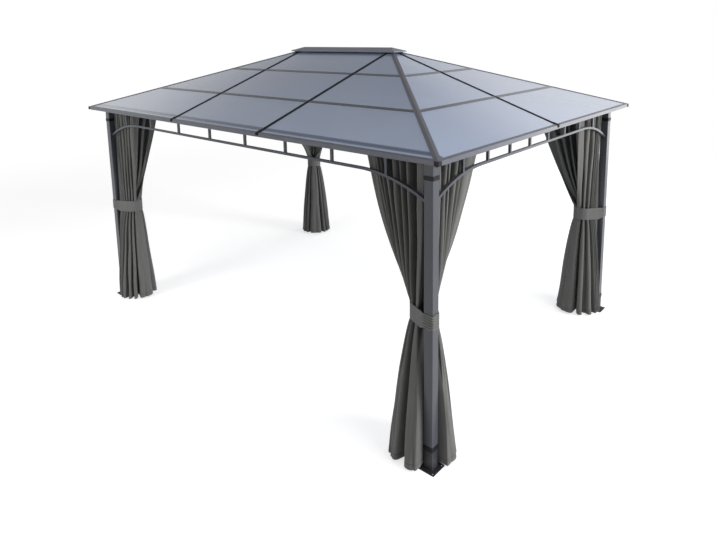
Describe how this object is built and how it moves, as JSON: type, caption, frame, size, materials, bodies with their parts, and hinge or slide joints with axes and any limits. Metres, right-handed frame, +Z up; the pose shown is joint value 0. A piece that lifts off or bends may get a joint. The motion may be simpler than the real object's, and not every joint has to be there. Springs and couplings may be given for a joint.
{
  "type": "metal gazebo",
  "caption": "Open rectangular garden gazebo with slim metal posts, an arched open frieze, a hipped translucent panel roof and curtains tied to the corner posts.",
  "frame": {"origin": "centre of the plan, on the ground under the base plates", "axes": "+Z up, +X along the long side, -Y towards the front long side"},
  "size_m": [4.3, 3.15, 2.6021],
  "materials": {
    "frame_metal": "satin powder coat",
    "base_metal": "satin powder coat",
    "black_plastic": "matte",
    "roof_sheet": "gloss, translucent",
    "trim_metal": "satin powder coat",
    "hip_metal": "satin powder coat",
    "bar_metal": "satin powder coat",
    "track_metal": "satin powder coat",
    "curtain_cloth": "plain weave",
    "tie_cloth": "ruched plain weave"
  },
  "bodies": {
    "root": {"back_beam": "frame_metal", "back_eave_trim": "trim_metal", "back_frieze_rail": "frame_metal", "back_left_curtains": "curtain_cloth", "back_left_foot": "base_metal", "back_left_hip_bar": "hip_metal", "back_left_post": "frame_metal", "back_right_curtains": "curtain_cloth", "back_right_foot": "base_metal", "back_right_hip_bar": "hip_metal", "back_right_post": "frame_metal", "back_roof_panels": "roof_sheet", "curtain_tracks": "track_metal", "eave_corner_caps": "black_plastic", "front_beam": "frame_metal", "front_eave_trim": "trim_metal", "front_frieze_rail": "frame_metal", "front_left_curtains": "curtain_cloth", "front_left_foot": "base_metal", "front_left_hip_bar": "hip_metal", "front_left_post": "frame_metal", "front_right_curtains": "curtain_cloth", "front_right_foot": "base_metal", "front_right_hip_bar": "hip_metal", "front_right_post": "frame_metal", "front_roof_panels": "roof_sheet", "left_beam": "frame_metal", "left_eave_trim": "trim_metal", "left_frieze_rail": "frame_metal", "left_roof_panels": "roof_sheet", "long_side_purlins": "bar_metal", "long_side_spacers": "frame_metal", "lower_collars": "black_plastic", "rafters": "bar_metal", "ridge_bar": "hip_metal", "ridge_blocks": "black_plastic", "ridge_cap": "hip_metal", "ridge_hubs": "hip_metal", "right_beam": "frame_metal", "right_eave_trim": "trim_metal", "right_frieze_rail": "frame_metal", "right_roof_panels": "roof_sheet", "short_side_purlins": "bar_metal", "short_side_spacers": "frame_metal", "tie_straps": "tie_cloth", "upper_collars": "black_plastic"}
  },
  "joints": []
}
